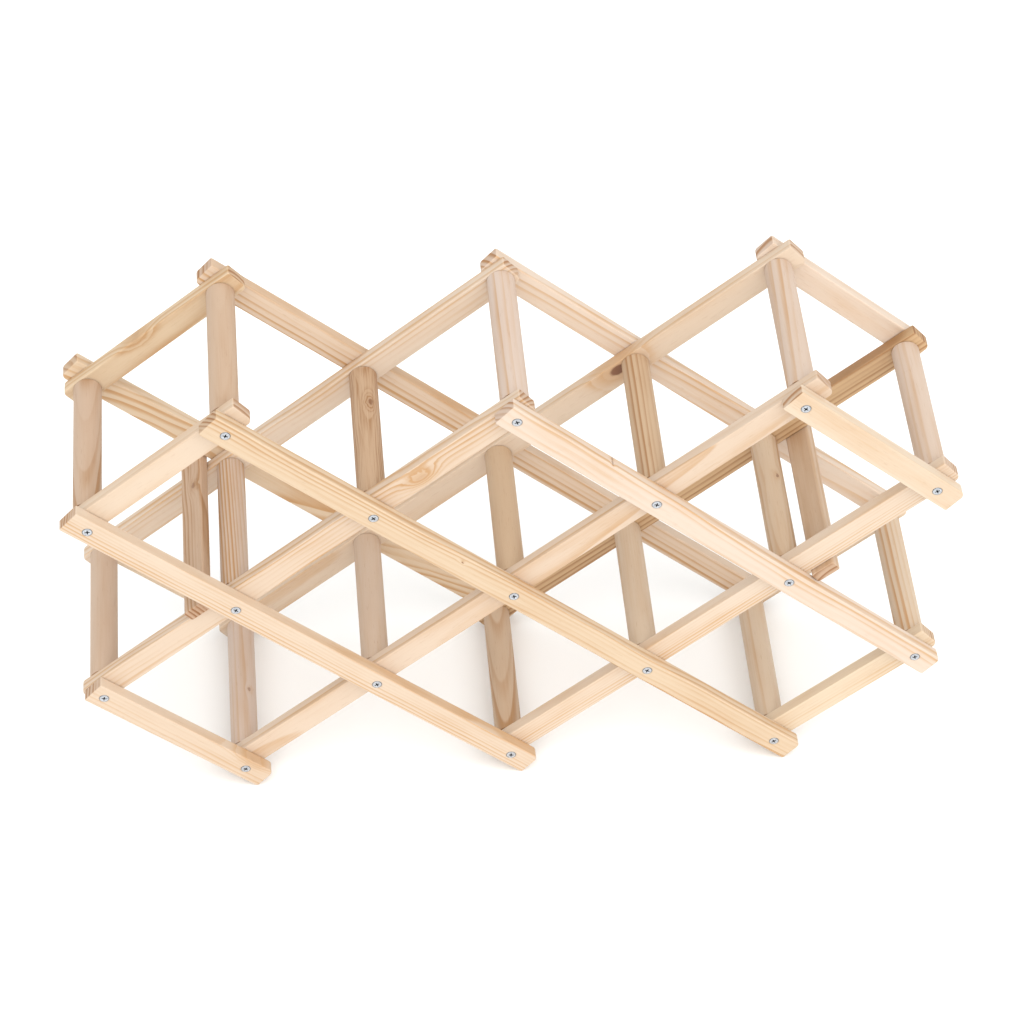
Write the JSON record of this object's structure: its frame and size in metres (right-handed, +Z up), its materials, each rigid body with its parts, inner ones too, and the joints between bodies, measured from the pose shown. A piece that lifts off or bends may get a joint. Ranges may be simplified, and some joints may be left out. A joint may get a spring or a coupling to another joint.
{
  "type": "wine rack",
  "caption": "Folding lattice wine rack: pine slats crossed in a front and a rear panel, joined by round dowels, with open cells for bottles lying front to back.",
  "frame": {"origin": "on the surface the rack stands on, under the middle of its width and depth", "axes": "+X to the right along the rack's length, +Y from the front panel to the rear panel, +Z up"},
  "size_m": [0.4816, 0.1252, 0.2919],
  "materials": {
    "pine_outer": "bare sanded pine, cream to yellow with straight grain",
    "pine_inner": "bare sanded pine, cream to pink with straight grain",
    "pine_dowel": "bare turned pine",
    "pine_stop": "bare sanded pine, reddish brown",
    "zinc_screw": "bright zinc plate"
  },
  "bodies": {
    "foot": {"dowel_E2": "pine_dowel", "screw_E2": "zinc_screw"},
    "outer_4": {"front_outer_4_slat": "pine_outer", "rear_outer_4_slat": "pine_outer"},
    "inner_4": {"front_inner_4_slat": "pine_inner", "rear_inner_4_slat": "pine_inner", "dowel_D3": "pine_dowel", "screw_D3": "zinc_screw", "dowel_C3": "pine_dowel", "screw_C3": "zinc_screw", "dowel_B4": "pine_dowel", "screw_B4": "zinc_screw", "stop_bar_right": "pine_stop"},
    "inner_1": {"front_inner_1_slat": "pine_inner", "rear_inner_1_slat": "pine_inner", "dowel_B1": "pine_dowel", "screw_B1": "zinc_screw", "dowel_A1": "pine_dowel", "screw_A1": "zinc_screw"},
    "inner_2": {"front_inner_2_slat": "pine_inner", "rear_inner_2_slat": "pine_inner", "dowel_D1": "pine_dowel", "screw_D1": "zinc_screw", "dowel_C1": "pine_dowel", "screw_C1": "zinc_screw", "dowel_B2": "pine_dowel", "screw_B2": "zinc_screw", "dowel_A2": "pine_dowel", "screw_A2": "zinc_screw", "stop_bar_left": "pine_stop"},
    "inner_3": {"front_inner_3_slat": "pine_inner", "rear_inner_3_slat": "pine_inner", "dowel_E1": "pine_dowel", "screw_E1": "zinc_screw", "dowel_D2": "pine_dowel", "screw_D2": "zinc_screw", "dowel_C2": "pine_dowel", "screw_C2": "zinc_screw", "dowel_B3": "pine_dowel", "screw_B3": "zinc_screw", "dowel_A3": "pine_dowel", "screw_A3": "zinc_screw"},
    "outer_1": {"front_outer_1_slat": "pine_outer", "rear_outer_1_slat": "pine_outer"},
    "outer_2": {"front_outer_2_slat": "pine_outer", "rear_outer_2_slat": "pine_outer"},
    "outer_3": {"front_outer_3_slat": "pine_outer", "rear_outer_3_slat": "pine_outer"},
    "outer_5": {"front_outer_5_slat": "pine_outer", "rear_outer_5_slat": "pine_outer"},
    "inner_5": {"front_inner_5_slat": "pine_inner", "rear_inner_5_slat": "pine_inner", "dowel_E3": "pine_dowel", "screw_E3": "zinc_screw", "dowel_D4": "pine_dowel", "screw_D4": "zinc_screw"}
  },
  "joints": [
    {"name": "fold", "type": "hinge", "parent": "foot", "child": "outer_4", "pos_m": [-0.00005, 0, 0.01476], "axis": [0, 1, 0], "range_deg": [0, 44]},
    {"name": "inner_4_pivot", "type": "hinge", "parent": "foot", "child": "inner_4", "pos_m": [-0.00005, 0, 0.01476], "axis": [0, 1, 0], "range_deg": [-44, 0]},
    {"name": "inner_1_pivot", "type": "hinge", "parent": "outer_4", "child": "inner_1", "pos_m": [-0.22646, 0, 0.21158], "axis": [0, 1, 0], "range_deg": [-88, 0]},
    {"name": "inner_2_pivot", "type": "hinge", "parent": "outer_4", "child": "inner_2", "pos_m": [-0.15099, 0, 0.14597], "axis": [0, 1, 0], "range_deg": [-88, 0]},
    {"name": "inner_3_pivot", "type": "hinge", "parent": "outer_4", "child": "inner_3", "pos_m": [-0.07552, 0, 0.08037], "axis": [0, 1, 0], "range_deg": [-88, 0]},
    {"name": "outer_1_pivot", "type": "hinge", "parent": "inner_4", "child": "outer_1", "pos_m": [0.07542, 0, 0.08037], "axis": [0, 1, 0], "range_deg": [0, 88]},
    {"name": "outer_2_pivot", "type": "hinge", "parent": "inner_4", "child": "outer_2", "pos_m": [0.15089, 0, 0.14597], "axis": [0, 1, 0], "range_deg": [0, 88]},
    {"name": "outer_3_pivot", "type": "hinge", "parent": "inner_4", "child": "outer_3", "pos_m": [0.22636, 0, 0.21158], "axis": [0, 1, 0], "range_deg": [0, 88]},
    {"name": "outer_5_pivot", "type": "hinge", "parent": "inner_2", "child": "outer_5", "pos_m": [-0.22646, 0, 0.08037], "axis": [0, 1, 0], "range_deg": [0, 88]},
    {"name": "inner_5_pivot", "type": "hinge", "parent": "outer_1", "child": "inner_5", "pos_m": [0.15089, 0, 0.01476], "axis": [0, 1, 0], "range_deg": [-88, 0]}
  ],
  "couplings": [
    {"joint": "inner_4_pivot", "follows": "fold", "ratio": -1},
    {"joint": "inner_1_pivot", "follows": "fold", "ratio": -2},
    {"joint": "inner_2_pivot", "follows": "fold", "ratio": -2},
    {"joint": "inner_3_pivot", "follows": "fold", "ratio": -2},
    {"joint": "outer_1_pivot", "follows": "fold", "ratio": 2},
    {"joint": "outer_2_pivot", "follows": "fold", "ratio": 2},
    {"joint": "outer_3_pivot", "follows": "fold", "ratio": 2},
    {"joint": "outer_5_pivot", "follows": "fold", "ratio": 2},
    {"joint": "inner_5_pivot", "follows": "fold", "ratio": -2}
  ]
}
